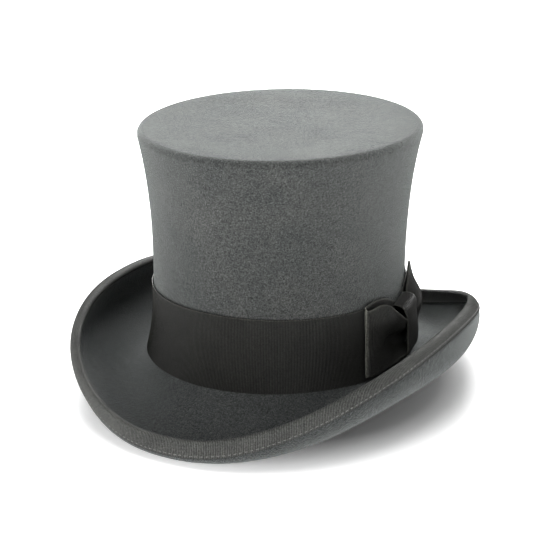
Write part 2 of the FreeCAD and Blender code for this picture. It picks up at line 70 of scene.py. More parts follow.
# the two handles of the brim's sweep: at the ends, at the sides, change and skew at the quarter
REACH, DIP = (69.4, 67.5, -17.65, -6.6), (48.1, 0.0, 9.45, 4.4)
ROLL, ROLL_DROP = (1.7, 11.6, 4.65, 11.15), (3.3, -8.0, 11.2, 1.35)
BINDING = 11.0                                     # width of the binding on each face
RIB = 1.15                                         # pitch of the binding's ribs
FINE_RIB = 1.05                                    # pitch of the band's and the bow's ribs
BAND_FACE = 1.1                                    # band's outer face, off the crown
BAND_TOP, BAND_SADDLE = 79.6, 1.75                 # band's upper edge, and its rise at the ends
BOW_PULL, BOW_PULL_AT, BOW_PULL_WIDE = 8.0, 5.5, 20.0   # how the bow pulls that edge down
LEATHER = 0.9
SWEAT_MARK = 64.6                                  # embossed line near the sweatband's top
REED_RADIUS, SLIT = 0.74, 0.7


# ------------------------------------------------------------------ the hat's surfaces
def smooth(x, low=0.0, high=1.0):
    """0 below low, 1 above high, smooth between."""
    s = np.clip((np.asarray(x, float) - low) / (high - low), 0, 1)
    return s * s * (3 - 2 * s)


def crown_offset(z):
    """How far the crown's outer oval stands out from the waist at height z."""
    above = np.clip((z - WAIST_Z) / (CROWN_TOP - WAIST_Z), 0, None)
    below = np.clip((WAIST_Z - z) / (WAIST_Z - BREAK_Z), 0, None)
    return TOP_FLARE * above ** FLARE_POWER + FOOT_FLARE * below ** 2


def oval(turn, z, out=0.0):
    """Points `out` from the crown's outer oval at height z."""
    turn, z, out = np.broadcast_arrays(turn, np.asarray(z, float), out)
    grow = crown_offset(z) + out
    return np.stack([(WAIST_X + grow) * np.cos(turn), (WAIST_Y + grow) * np.sin(turn), z], -1)


def sideways(turn):
    """1 at the wearer's sides, 0 at front and back."""
    c, s = np.abs(np.cos(turn)) ** RIM_POWER, np.abs(np.sin(turn)) ** RIM_POWER
    return c / (c + s)


def blend(turn, ends, sides, quarter, skew=0.0):
    """A brim size between its values at front and back and at the sides."""
    side = sideways(turn)
    between = 4 * side * (1 - side)
    return ends * (1 - side) + sides * side + between * (quarter + skew * (2 * side - 1))


def break_height(turn):
    """Height of the brim's upper face where it leaves the crown."""
    return BREAK_Z - 0.8 * np.cos(2 * turn)


def rim_ridge(turn):
    """Points on the rim's ridge."""
    c, s = np.cos(turn), np.sin(turn)
    reach = (np.abs(c) ** RIM_POWER + np.abs(s) ** RIM_POWER) ** (-1 / RIM_POWER)
    return np.stack([RIM_X * c * reach, RIM_Y * s * reach, blend(turn, *RIM_RISE)], -1)


def unit(v):
    return v / np.maximum(np.linalg.norm(v, axis=-1, keepdims=True), 1e-9)


def brim_curve(turn, shares):
    """Underside of the brim, [share, turn]: from the crown (0) to the rim (1)."""
    start = oval(turn, BREAK_Z, 2.0)
    start[..., 2] = break_height(turn) - BRIM_FELT
    ridge = rim_ridge(turn)
    outwards = ridge - start
    outwards[..., 2] = 0
    outwards = unit(outwards)
    up = np.array([0, 0, 1.0])
    end = ridge + outwards * 1.2 - up * 1.2
    first = (start + outwards * blend(turn, *REACH)[:, None]
             - up * blend(turn, *DIP)[:, None])
    second = (end + outwards * blend(turn, *ROLL)[:, None]
              - up * blend(turn, *ROLL_DROP)[:, None])
    s = np.asarray(shares)[:, None, None]
    return (start * (1 - s) ** 3 + first * 3 * s * (1 - s) ** 2
            + second * 3 * s ** 2 * (1 - s) + end * s ** 3)


def grid_normals(grid, around=True):
    """Unit normals of grid[row, column], whose columns may close around the hat."""
    if around:
        along = np.roll(grid, -1, 1) - np.roll(grid, 1, 1)
    else:
        along = np.gradient(grid, axis=1)
    return unit(np.cross(along, np.gradient(grid, axis=0)))


def brim_rows(turn, distances):
    """Underside rows that far in from the rim; past the binding they stretch to meet the crown."""
    fine = brim_curve(turn, np.linspace(1, 0, 161))
    step = np.linalg.norm(np.diff(fine, axis=0), axis=2)
    reached = np.concatenate([np.zeros((1, len(turn))), np.cumsum(step, 0)])
    rows = np.empty((len(distances), len(turn), 3))
    held = BINDING + 6
    for c in range(len(turn)):
        stretch = (reached[-1, c] - held) / (distances[-1] - held)
        wanted = np.where(distances <= held, distances, held + (distances - held) * stretch)
        for k in range(3):
            rows[:, c, k] = np.interp(wanted, reached[:, c], fine[:, c, k])
    return rows


def ripple(turn, z, seed, size, longest=7):
    """Slow waves around and up the hat, so that nothing is drawn with a compass."""
    waves = np.random.default_rng(seed)
    total = 0
    for n in range(1, longest + 1):
        lift, phase, tall = waves.normal(), waves.uniform(0, TURN), waves.uniform(-0.03, 0.03)
        total = total + lift / n * np.sin(n * turn + tall * z * n + phase)
    return size * total


# ------------------------------------------------------------------ meshes
def new_mesh(name, points, faces, material, attributes=None):
    """An object from points in millimetres and faces, with named numbers on its points."""
    mesh = bpy.data.meshes.new(name)
    mesh.from_pydata((np.asarray(points) * MM).tolist(), [], faces)
    mesh.shade_smooth()
    for key, values in (attributes or {}).items():
        layer = mesh.attributes.new(key, "FLOAT", "POINT")
        layer.data.foreach_set("value", np.asarray(values, "f").ravel())
    mesh.validate()
    obj = bpy.data.objects.new(name, mesh)
    bpy.context.scene.collection.objects.link(obj)
    mesh.materials.append(material)
    return obj


def grid_faces(rows, columns, around, across, base=0):
    """Quads of a grid, closed around its columns or across its rows."""
    index = np.arange(rows * columns).reshape(rows, columns) + base
    if around:
        index = np.concatenate([index, index[:, :1]], 1)
    if across:
        index = np.concatenate([index, index[:1]], 0)
    return np.stack([index[:-1, :-1], index[:-1, 1:], index[1:, 1:], index[1:, :-1]],
                    -1).reshape(-1, 4).tolist()


def end_faces(rows, columns, base=0):
    """Quads across the two open ends of a sheet whose rows go up one face and down the other."""
    index = np.arange(rows * columns).reshape(rows, columns) + base
    faces = []
    for column, order in ((0, 1), (columns - 1, -1)):
        for r in range(rows // 2 - 1):
            corners = index[[r, r + 1, rows - 2 - r, rows - 1 - r], column]
            faces.append(corners[::order].tolist())
    return faces


def grid_piece(name, grid, material, around=True, attributes=None):
    """A grid[row, column] of points as one closed object: a loop around the hat, or a strip."""
    rows, columns = grid.shape[:2]
    faces = grid_faces(rows, columns, around, True)
    if not around:
        faces += end_faces(rows, columns)
    return fix_outside(new_mesh(name, grid.reshape(-1, 3), faces, material, attributes))


def fix_outside(obj):
    """Turns the faces outward."""
    mesh = obj.data
    mesh.calc_loop_triangles()
    points = np.array([v.co for v in mesh.vertices])
    corners = points[np.array([t.vertices for t in mesh.loop_triangles])]
    volume = np.einsum("ij,ij->i", corners[:, 0], np.cross(corners[:, 1], corners[:, 2])).sum()
    if volume < 0:
        mesh.flip_normals()
    return obj


def place(obj, slot, nodes, sheet=None):
    """Rides the piece on the hat and hides the CAD nodes it stands for."""
    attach(obj, "root")
    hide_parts(*nodes)


def spread_along(curve_of, count):
    """Turns of `count` points that are evenly spaced along a closed curve, and its length."""
    fine = np.linspace(0, TURN, 7201)
    points = curve_of(fine)
    reached = np.concatenate([[0], np.cumsum(np.linalg.norm(np.diff(points, axis=0), axis=1))])
    return np.interp(np.arange(count) * reached[-1] / count, reached, fine), reached[-1]


def stitches(name, points, normals, along, length, radius, material):
    """Short rounded stitches at the points, lying along the seam."""
    rings, sides = 5, 6
    angles = np.arange(sides) * TURN / sides
    out, faces = [], []
    for p, up, a in zip(points, normals, along):
        across = np.cross(up, a)
        base = len(out)
        for r in range(rings):
            t = r / (rings - 1) * 2 - 1
            wide = radius * math.sqrt(max(0.06, 1 - abs(t) ** 3))
            sink = -0.5 * radius * t * t
            for angle in angles:
                out.append(p + a * (t * length / 2) + up * (wide * math.sin(angle) + sink)
                           + across * (wide * math.cos(angle)))
        faces += grid_faces(rings, sides, True, False, base)
        faces.append(list(range(base, base + sides)))
        faces.append(list(range(base + rings * sides - 1, base + rings * sides - sides - 1, -1)))
    return fix_outside(new_mesh(name, out, faces, material))


# ------------------------------------------------------------------ materials
class Nodes:
    """A material's node tree with short ways to add to it."""

    def __init__(self, name, **shader):
        self.material = bpy.data.materials.new(name)
        self.material.use_nodes = True
        self.tree = self.material.node_tree
        self.shader = self.tree.nodes["Principled BSDF"]
        for key, value in shader.items():
            self.shader.inputs[key.replace("_", " ")].default_value = value
        self.place = self.add("ShaderNodeTexCoord").outputs["Object"]

    def add(self, kind, **settings):
        node = self.tree.nodes.new(kind)
        for key, value in settings.items():
            setattr(node, key, value)
        return node

    def link(self, source, target):
        self.tree.links.new(source, target)

    def noise(self, scale, detail=2.0, rough=0.5, stretch=None, distort=0.0):
        """Noise whose features are about `scale` millimetres."""
        node = self.add("ShaderNodeTexNoise")
        node.inputs["Scale"].default_value = 1000.0 / scale
        node.inputs["Detail"].default_value = detail
        node.inputs["Roughness"].default_value = rough
        node.inputs["Distortion"].default_value = distort
        place = self.place
        if stretch:
            mapping = self.add("ShaderNodeMapping")
            mapping.inputs["Scale"].default_value = stretch
            self.link(place, mapping.inputs["Vector"])
            place = mapping.outputs["Vector"]
        self.link(place, node.inputs["Vector"])
        return node.outputs["Fac"]

    def attribute(self, name):
        node = self.add("ShaderNodeAttribute", attribute_name=name, attribute_type="GEOMETRY")
        return node.outputs["Fac"]

    def math(self, operation, a, b=None, c=None):
        node = self.add("ShaderNodeMath", operation=operation)
        for socket, value in zip(node.inputs, (a, b, c)):
            if value is None:
                continue
            if isinstance(value, (int, float)):
                socket.default_value = value
            else:
                self.link(value, socket)
        return node.outputs[0]

    def ramp(self, value, stops):
        node = self.add("ShaderNodeValToRGB")
        elements = node.color_ramp.elements
        while len(elements) < len(stops):
            elements.new(0.5)
        for element, (position, colour) in zip(elements, stops):
            element.position = position
            element.color = (*colour, 1)
        self.link(value, node.inputs["Fac"])
        return node.outputs["Color"]

    def mix(self, factor, a, b, how="MIX"):
        node = self.add("ShaderNodeMix", data_type="RGBA", blend_type=how)
        for socket, value in ((node.inputs["Factor"], factor), (node.inputs["A"], a),
                              (node.inputs["B"], b)):
            if isinstance(value, (int, float)):
                socket.default_value = value
            elif isinstance(value, tuple):
                socket.default_value = (*value, 1)
            else:
                self.link(value, socket)
        return node.outputs["Result"]

    def colour(self, output):
        self.link(output, self.shader.inputs["Base Color"])

    def rough(self, output):
        self.link(output, self.shader.inputs["Roughness"])

    def bump(self, height, distance, strength=1.0):
        """Bump from a height socket; distance in millimetres."""
        node = self.add("ShaderNodeBump")
        node.inputs["Strength"].default_value = strength
        node.inputs["Distance"].default_value = distance * MM
        self.link(height, node.inputs["Height"])
        self.link(node.outputs["Normal"], self.shader.inputs["Normal"])


def grey(level, tint=(1.0, 1.0, 1.0)):
    return tuple(level * t for t in tint)


FELT_TINT = (0.97, 1.0, 0.975)


def felt_material(name, level, tint=FELT_TINT):
    """Napped wool felt: a fuzzy, pebbled nap, paler and darker fibres, slow patches, and painted
    light on the tip.
    """
    n = Nodes(name, Sheen_Weight=0.72, Sheen_Roughness=0.33, Specular_IOR_Level=0.25,
              Sheen_Tint=(0.95, 1.0, 0.98, 1))
    clump = n.noise(1.7, 2.0, 0.6, distort=1.0)
    fine = n.noise(0.95, 2.0, 0.6, distort=0.6)
    fibre = n.noise(0.5, 2.0, 0.7, distort=1.5)
    patch = n.noise(38.0, 2.0, 0.5, distort=0.8)
    nap = n.math("ADD", n.math("MULTIPLY", clump, 0.22),
                 n.math("ADD", n.math("MULTIPLY", fine, 0.53), n.math("MULTIPLY", fibre, 0.25)))
    base = n.ramp(nap, [(0.38, grey(level * 0.42, tint)), (0.50, grey(level * 0.96, tint)),
                        (0.62, grey(level * 1.74, tint))])
    slow = n.ramp(patch, [(0.30, (0.90, 0.915, 0.92)), (0.70, (1.09, 1.085, 1.08))])
    toned = n.mix(1.0, base, slow, "MULTIPLY")
    # the flat tip is painted paler in small clouds: painted light from above on the tip, with grain
    # in the felt's tone
    cloud = n.math("ADD", n.math("MULTIPLY", n.noise(2.4, 2.0, 0.6), 0.7),
                   n.math("MULTIPLY", n.noise(24.0, 2.0, 0.5), 0.3))
    tip_painted_light = n.ramp(cloud, [(0.36, grey(1.0)), (0.64, grey(1.95))])
    n.colour(n.mix(n.attribute("tip"), toned, n.mix(1.0, toned, tip_painted_light, "MULTIPLY")))
    n.rough(n.math("ADD", n.math("MULTIPLY", fine, 0.12), 0.86))
    n.bump(nap, 1.3, 1.0)
    return n.material


def ribbon_material(name, level, tint, gloss=0.5, edge=0.35, specular=0.5):
    """Grosgrain: ribs by the 'rib' number on the mesh, paler fold and selvedge by 'edge' (a painted
    highlight where they catch the light), painted shadow by 'seam'.
    """
    n = Nodes(name, Sheen_Weight=0.06, Sheen_Roughness=0.4, Specular_IOR_Level=specular)
    rib, edge_highlight, seam = n.attribute("rib"), n.attribute("edge"), n.attribute("seam")
    weave = n.noise(1.1, 2.0, 0.6, distort=0.4)
    thread = n.noise(0.55, 2.0, 0.6, distort=0.3)
    slow = n.noise(15.0, 3.0, 0.55)
    value = n.math("ADD", n.math("MULTIPLY", rib, 0.30),
                   n.math("ADD", n.math("MULTIPLY", weave, 0.42), n.math("MULTIPLY", thread, 0.28)))
    base = n.ramp(value, [(0.34, grey(level * 0.15, tint)), (0.50, grey(level, tint)),
                          (0.66, grey(level * 2.4, tint))])
    patch = n.ramp(slow, [(0.3, (0.84, 0.84, 0.84)), (0.7, (1.16, 1.16, 1.15))])
    toned = n.mix(1.0, base, patch, "MULTIPLY")
    painted_edge_highlight = n.mix(1.0, toned, (1 + edge * 4, 1 + edge * 4, 1 + edge * 4), "MULTIPLY")
    # 'edge' paints a highlight on folds and selvedges; 'seam' paints shadow in near black where the
    # binding meets the felt and on its hidden inner layer
    n.colour(n.mix(seam, n.mix(edge_highlight, toned, painted_edge_highlight), grey(0.006)))
    n.rough(n.math("ADD", n.math("MULTIPLY", weave, 0.25), gloss - 0.1))
    n.bump(n.math("ADD", n.math("MULTIPLY", weave, 0.6), n.math("MULTIPLY", rib, 0.4)), 0.8, 1.0)
    return n.material


def thread_material(name, level, tint=(1, 1, 0.97)):
    n = Nodes(name, Sheen_Weight=0.1, Specular_IOR_Level=0.35)
    twist = n.add("ShaderNodeTexWave", wave_type="BANDS", bands_direction="DIAGONAL")
    twist.inputs["Scale"].default_value = 420.0
    twist.inputs["Distortion"].default_value = 2.0
    n.link(n.place, twist.inputs["Vector"])
    n.colour(n.ramp(twist.outputs["Fac"], [(0.2, grey(level * 0.6, tint)),
                                           (0.8, grey(level * 1.25, tint))]))
    n.rough(n.math("ADD", n.math("MULTIPLY", twist.outputs["Fac"], 0.2), 0.55))
    n.bump(twist.outputs["Fac"], 0.08, 0.6)
    return n.material


def leather_material(name):
    """Smooth brown sheepskin with a fine pebble and darker handling marks."""
    n = Nodes(name, Specular_IOR_Level=0.45)
    pebble = n.add("ShaderNodeTexVoronoi", feature="F1")
    pebble.inputs["Scale"].default_value = 1300.0
    n.link(n.place, pebble.inputs["Vector"])
    grain = n.noise(2.6, 4.0, 0.6)
    slow = n.noise(22.0, 3.0, 0.6, distort=0.8)
    crease = n.attribute("edge")
    tone = n.ramp(n.math("ADD", n.math("MULTIPLY", slow, 0.7), n.math("MULTIPLY", grain, 0.3)),
                  [(0.25, (0.105, 0.050, 0.024)), (0.55, (0.180, 0.092, 0.046)),
                   (0.80, (0.250, 0.140, 0.075))])
    n.colour(n.mix(crease, tone, (0.07, 0.035, 0.018)))
    n.rough(n.math("ADD", n.math("MULTIPLY", grain, 0.25), 0.36))
    height = n.math("ADD", n.math("MULTIPLY", pebble.outputs["Distance"], 0.5),
                    n.math("MULTIPLY", grain, 0.5))
    n.bump(height, 0.18, 0.45)
    return n.material


def satin_material(name, low, high, gloss=0.32):
    """Satin lining: fine warp lines and a soft lustre."""
    n = Nodes(name, Sheen_Weight=0.15, Specular_IOR_Level=0.55, Anisotropic=0.5)
    warp = n.noise(0.45, 2.0, 0.5, stretch=(1.0, 1.0, 0.08))
    slow = n.noise(16.0, 2.0, 0.5)
    tone = n.math("ADD", n.math("MULTIPLY", warp, 0.5), n.math("MULTIPLY", slow, 0.5))
    n.colour(n.ramp(tone, [(0.3, low), (0.7, high)]))
    n.rough(n.math("ADD", n.math("MULTIPLY", warp, 0.15), gloss))
    n.bump(warp, 0.06, 0.5)
    return n.material


def cotton_material(name, low, high):
    """Plain woven cotton: a small square weave."""
    n = Nodes(name, Sheen_Weight=0.1, Specular_IOR_Level=0.2)
    weave = n.add("ShaderNodeTexChecker")
    weave.inputs["Scale"].default_value = 1600.0
    weave.inputs["Color1"].default_value = (0.35, 0.35, 0.35, 1)
    weave.inputs["Color2"].default_value = (0.75, 0.75, 0.75, 1)
    n.link(n.place, weave.inputs["Vector"])
    fuzz = n.noise(0.9, 3.0, 0.7)
    value = n.math("ADD", n.math("MULTIPLY", weave.outputs["Fac"], 0.3),
                   n.math("MULTIPLY", fuzz, 0.7))
    n.colour(n.ramp(value, [(0.25, low), (0.75, high)]))
    n.rough(n.math("ADD", n.math("MULTIPLY", fuzz, 0.15), 0.78))
    n.bump(value, 0.1, 0.5)
    return n.material


def reed_material(name):
    n = Nodes(name, Specular_IOR_Level=0.5)
    mark = n.noise(3.0, 3.0, 0.6)
    n.colour(n.ramp(mark, [(0.3, (0.62, 0.58, 0.47)), (0.7, (0.72, 0.69, 0.58))]))
    n.rough(n.math("ADD", n.math("MULTIPLY", mark, 0.2), 0.35))
    return n.material


FELT = felt_material("wool_felt", 0.102)
# the brim's felt is the crown's felt painted darker and a little bluer: painted shade, for the
# crown's shade over the brim
SHADED_BRIM_WOOL = felt_material("wool_felt_brim_shaded", 0.078, (0.955, 1.0, 0.995))
BINDING_RIBBON = ribbon_material("binding_grosgrain", 0.077, (0.98, 1.0, 0.94), 0.62, 0.1)
BAND_RIBBON = ribbon_material("band_grosgrain", 0.020, (1.0, 1.0, 0.88), 0.48, 1.8, 0.42)
DARK_THREAD = thread_material("dark_thread", 0.045)
GREY_THREAD = thread_material("grey_thread", 0.28)
PALE_THREAD = thread_material("pale_thread", 0.45, (1, 0.9, 0.75))
SHEEPSKIN = leather_material("brown_sheepskin")
SATIN = satin_material("silver_satin", (0.42, 0.41, 0.385), (0.56, 0.55, 0.52))
DARK_SATIN = satin_material("slate_satin", (0.13, 0.128, 0.12), (0.20, 0.198, 0.19))
COTTON = cotton_material("tape_cotton", (0.16, 0.155, 0.145), (0.27, 0.26, 0.245))
LABEL = cotton_material("label_weave", (0.66, 0.64, 0.58), (0.80, 0.78, 0.72))
REED = reed_material("reed_plastic")


# ------------------------------------------------------------------ crown
def make_crown():
    """Blocked felt crown with a rounded edge and a shallow dish, outer and inner face."""
    turn = np.arange(288) * TURN / 288

    def skin(inset, top, radius, foot):
        """Rows from the foot up the side, round the edge and in to the middle of the tip."""
        lean = math.atan(TOP_FLARE * FLARE_POWER / (CROWN_TOP - WAIST_Z))
        shoulder = top - radius * (1 + math.sin(lean))
        rows = [oval(turn, z, -inset + ripple(turn, z, 5, 0.12))
                for z in np.linspace(foot, shoulder, 64)]
        edge = float(crown_offset(np.array(shoulder))) - inset
        for angle in np.linspace(-lean, math.pi / 2, 14)[1:]:
            out = (edge + radius * (math.cos(angle) - math.cos(lean))
                   + ripple(turn, shoulder, 5, 0.12))
            z = shoulder + radius * (math.sin(angle) + math.sin(lean)) + 0 * turn
            rows.append(np.stack([(WAIST_X + out) * np.cos(turn), (WAIST_Y + out) * np.sin(turn),
                                  z], -1))
        rim = rows[-1]
        for share in np.linspace(1, 0.012, 48)[1:]:
            row = rim * share
            dish = 2.2 * (1 - smooth(share, 0.45, 1.0)) + 0.3 * (1 - share ** 2) ** 2
            wave = (0.5 * np.sin(2 * turn + 0.7) + 0.35 * np.sin(3 * turn + 2.0)) * share
            row[:, 2] = top - dish + wave * (1 - smooth(share, 0.5, 1.0))
            rows.append(row)
        return np.array(rows)

    outer = skin(0.0, CROWN_TOP, 4.4, CROWN_FOOT)
    inner = skin(CROWN_FELT, CROWN_TOP - CROWN_FELT, 2.4, CROWN_FOOT)[::-1]
    rows, columns = len(outer), len(turn)
    grid = np.concatenate([outer, inner])
    faces = grid_faces(rows, columns, True, False)
    faces += grid_faces(rows, columns, True, False, rows * columns)
    index = np.arange(2 * rows * columns).reshape(2 * rows, columns)
    faces.append(index[rows - 1].tolist())
    faces.append(index[rows][::-1].tolist())
    first, last = np.append(index[-1], index[-1][0]), np.append(index[0], index[0][0])
    faces += [[first[i], first[i + 1], last[i + 1], last[i]] for i in range(columns)]
    # mask of the tip, where the felt is painted paler: painted light from above
    tip = smooth(np.arange(2 * rows), 69, 78) * (np.arange(2 * rows) < rows)
    obj = fix_outside(new_mesh("crown", grid.reshape(-1, 3), faces, FELT,
                               {"tip": np.repeat(tip, columns)}))
    place(obj, "grey_felt", ["crown_felt"])


# ------------------------------------------------------------------ brim and binding
RIM_ROWS = np.array([0.0, 0.7, 1.6, 2.8, 4.2, 5.8, 7.4, 9.0, 10.2, 11.0])


def brim_middle(turn):
    """Middle surface of the brim's felt from the rim in, and on up the collar."""
    more = np.array([12.0, 13.5, 15.0, 17.0])
    inner = np.linspace(20.0, 84.0, 27)
    under = brim_rows(turn, np.concatenate([RIM_ROWS, more, inner]))
    normal = grid_normals(under)
    if normal[-1, 0, 2] < 0:
        normal = -normal
    middle = under + normal * BRIM_FELT / 2
    # the bend into the collar, then the collar inside the crown
    a = middle[-1]
    lead = unit(middle[-1] - middle[-3])
    collar = -(CROWN_FELT + 0.3 + BRIM_FELT / 2)
    d = oval(turn, 34.5, collar)
    down = unit(oval(turn, 33.0, collar) - d)
    s = np.linspace(0, 1, 11)[1:, None, None]
    bend = (a * (1 - s) ** 3 + (a + lead * 3.4) * 3 * s * (1 - s) ** 2
            + (d + down * 3.4) * 3 * s ** 2 * (1 - s) + d * s ** 3)
    top = np.array([oval(turn, z, collar) for z in (36.5, 38.5, 40.0)])
    return np.concatenate([middle, bend, top])


def outward_normals(middle):
    """Normals of the middle surface that point to the brim's upper face."""
    normal = grid_normals(middle)
    return normal if normal[len(RIM_ROWS) + 12, 0, 2] > 0 else -normal


def make_brim():
    """Felt of the brim and its collar."""
    turn, _ = spread_along(rim_ridge, 400)
    middle = brim_middle(turn)
    normal = outward_normals(middle)
    beyond = unit(middle[0] - middle[1])
    upper = middle + normal * BRIM_FELT / 2
    lower = middle - normal * BRIM_FELT / 2
    edge = [middle[0] + (normal[0] * math.cos(a) + beyond * math.sin(a) * 0.35) * BRIM_FELT / 2
            for a in (math.pi / 4, math.pi / 2, math.pi * 3 / 4)]
    grid = np.concatenate([upper[::-1], edge, lower])
    obj = grid_piece("brim", grid, SHADED_BRIM_WOOL)
    place(obj, "grey_felt", ["brim_felt"])


def make_binding():
    """Grosgrain folded over the rim, ribs across its width, with its two rows of stitches."""
    _, length = spread_along(rim_ridge, 10)
    ribs = round(length / RIB)
    turn, _ = spread_along(rim_ridge, ribs * 3)
    middle = brim_middle(turn)
    normal = outward_normals(middle)
    rim, lift = middle[:len(RIM_ROWS)], normal[:len(RIM_ROWS)]
    beyond = unit(rim[0] - rim[1])
    rib = 0.5 + 0.5 * np.cos(np.arange(ribs * 3) % 3 * TURN / 3)
    wander = ripple(turn, 0, 21, 0.22, 9)
    sag = ripple(turn, 0, 22, 0.18, 9)

    def wrap(off, wave, rows):
        """Rows from the upper edge round the rim to the lower edge, `off` the felt."""
        reach = BRIM_FELT / 2 + off
        out = []
        for r in rows:
            out.append(rim[r] + lift[r] * (reach + wave)[:, None])
        for angle in np.linspace(0, math.pi, 9)[1:-1]:
            out.append(rim[0] + lift[0] * ((reach + wave) * math.cos(angle))[:, None]
                       + beyond * ((reach + wave) * math.sin(angle) * 0.8 + 0.15)[:, None])
        for r in rows[::-1]:
            out.append(rim[r] - lift[r] * (reach + wave)[:, None])
        return np.array(out)

    rows = list(range(len(RIM_ROWS)))[::-1]
    face = wrap(0.05 + RIBBON, 0.20 * (rib - 0.5), rows)
    # the ribbon's two edges wander a little along the felt
    slope_in = unit(face[0] - face[1])
    slope_out = unit(face[-1] - face[-2])
    for k, share in ((0, 1.0), (1, 0.6), (2, 0.25)):
        face[k] += slope_in * (wander * share)[:, None]
        face[-1 - k] += slope_out * (sag * share)[:, None]
    back = wrap(0.05, 0 * rib, rows)
    back[0] += slope_in * wander[:, None]
    back[-1] += slope_out * sag[:, None]
    keep = [0, 3, 6, 9, 11, 13, 16, 19, 22, 25, 26]
    grid = np.concatenate([face, back[keep][::-1]])
    ribs_on = np.concatenate([np.tile(rib, (len(face), 1)), np.full((len(keep), len(rib)), 0.4)])
    # near black along both edges and on the hidden inner layer: painted shadow where the ribbon
    # meets the felt
    painted_edge_shadow = np.zeros(grid.shape[:2])
    painted_edge_shadow[0], painted_edge_shadow[len(face) - 1] = 0.8, 1.0
    painted_edge_shadow[len(face):] = 1.0
    obj = grid_piece("brim_ribbon", grid, BINDING_RIBBON,
                     attributes={"rib": ribs_on, "seam": painted_edge_shadow})
    place(obj, "binding_ribbon", ["brim_binding"],
          ((length * MM, 0.0258), "folded", ["brim"]))

    count = round(length / 3.7)
    seam_turn, _ = spread_along(rim_ridge, count)
    seam = brim_middle(seam_turn)
    up = outward_normals(seam)
    row = 7
    along = unit(np.roll(seam[row], -1, 0) - np.roll(seam[row], 1, 0))
    lift_by = BRIM_FELT / 2 + 0.05 + RIBBON + 0.06
    points = np.concatenate([seam[row] + up[row] * lift_by, seam[row] - up[row] * lift_by])
    obj = stitches("binding_stitches", points, np.concatenate([up[row], -up[row]]),
                   np.concatenate([along, along]), 2.4, 0.28, GREY_THREAD)
    place(obj, "thread", ["binding_stitching"])


# ------------------------------------------------------------------ hat band
def band_level(turn, share):
    """Height of the band's lower edge (0), upper edge (1) or between."""
    low = break_height(turn) + 0.35
    along = ((turn + math.pi) % TURN - math.pi) * WAIST_Y
    pull = BOW_PULL * np.exp(-((along - BOW_PULL_AT) / BOW_PULL_WIDE) ** 2)
    high = BAND_TOP - BAND_SADDLE * np.cos(2 * turn) - pull
    return low + (high - low) * share


def make_band():
    """Wide ribbed band; its upper edge stands off the felt a little."""
    _, length = spread_along(lambda t: oval(t, 55.0, 1.0), 10)
    ribs = round(length / FINE_RIB)
    turn, _ = spread_along(lambda t: oval(t, 55.0, 1.0), ribs * 4)
    rib = 0.5 + 0.5 * np.cos(np.arange(ribs * 4) % 4 * TURN / 4)
    shares = np.array([0, 0.012, 0.04, 0.1, 0.2, 0.3, 0.4, 0.5, 0.6, 0.7, 0.8, 0.9, 0.96, 0.988, 1])
    wander_top, wander_foot = ripple(turn, 0, 31, 0.18, 12), ripple(turn, 0, 32, 0.15, 9)

    def skin(off, wave):
        rows = []
        for share in shares:
            z = band_level(turn, share) + wander_top * share + wander_foot * (1 - share)
            slack = (0.35 * smooth(share, 0.8, 1.0) * (1 + np.sin(3 * turn + 1) * 0.5)
                     + ripple(turn, z, 33, 0.07, 14))
            rows.append(oval(turn, z, off + slack + wave))
        return np.array(rows)

    face = skin(0.5 + RIBBON, 0.10 * (rib - 0.5))
    back = skin(0.5, 0 * rib)[[0, 4, 8, 11, 14]]
    grid = np.concatenate([face, back[::-1]])
    ribs_on = np.concatenate([np.tile(rib, (len(face), 1)), np.full((len(back), len(rib)), 0.4)])
    # the face's upper edge is painted paler: a painted highlight where it catches the light
    top_edge_highlight = np.zeros(grid.shape[:2])
    top_edge_highlight[len(face) - 1] = 0.5
    obj = grid_piece("band", grid, BAND_RIBBON,
                     attributes={"rib": ribs_on, "edge": top_edge_highlight})
    place(obj, "band_ribbon", ["hat_band"], ((length * MM, 0.0535), "stretched", ["crown"]))

    where = [(s, t) for s in (0.03, 0.97) for t in np.radians((90, 135, 180, 225, 270))]
    turns = np.array([t for _, t in where])
    heights = np.array([float(band_level(t, s)) for s, t in where])
    points = oval(turns, heights, BAND_FACE + 0.02)
    ahead = oval(turns + 0.01, heights, BAND_FACE + 0.02)
    along = unit(ahead - points)
    out = unit(oval(turns, heights, 3.0) - oval(turns, heights, 0.0))
    obj = stitches("band_tack_stitches", points, out, along, 2.0, 0.18, DARK_THREAD)
    place(obj, "thread", ["band_tacks"])


# ------------------------------------------------------------------ bow
def beside_band(along, off, z):
    """Points `along` the band from the hat's middle (front is negative), `off` its face."""
    along, off, z = np.broadcast_arrays(along, off, z)
    return oval(along / WAIST_Y, z, BAND_FACE + off)


def through(knots, count, axis=0):
    """Smooth rows through the knots, `count` of them, evenly spaced by knot number."""
    knots = np.moveaxis(np.asarray(knots, float), axis, 0)
    p = np.concatenate([2 * knots[:1] - knots[1:2], knots, 2 * knots[-1:] - knots[-2:-1]])
    x = np.linspace(0, len(knots) - 1, count)
    i = np.minimum(x.astype(int), len(knots) - 2)
    t = (x - i).reshape((-1,) + (1,) * (knots.ndim - 1))
    a, b, c, d = p[i], p[i + 1], p[i + 2], p[i + 3]
    rows = 0.5 * (2 * b + (c - a) * t + (2 * a - 5 * b + 4 * c - d) * t ** 2
                  + (3 * b - a - 3 * c + d) * t ** 3)
    return np.moveaxis(rows, 0, axis)


def evenly(rows, points, count, closed=False):
    """`count` of the rows, evenly spaced along the line of their points, and its length."""
    step = np.linalg.norm(np.diff(points, axis=0), axis=1)
    reached = np.concatenate([[0], np.cumsum(step)])
    wanted = np.linspace(0, reached[-1], count, endpoint=not closed)
    return np.stack([np.interp(wanted, reached, column) for column in rows.T], -1), reached[-1]


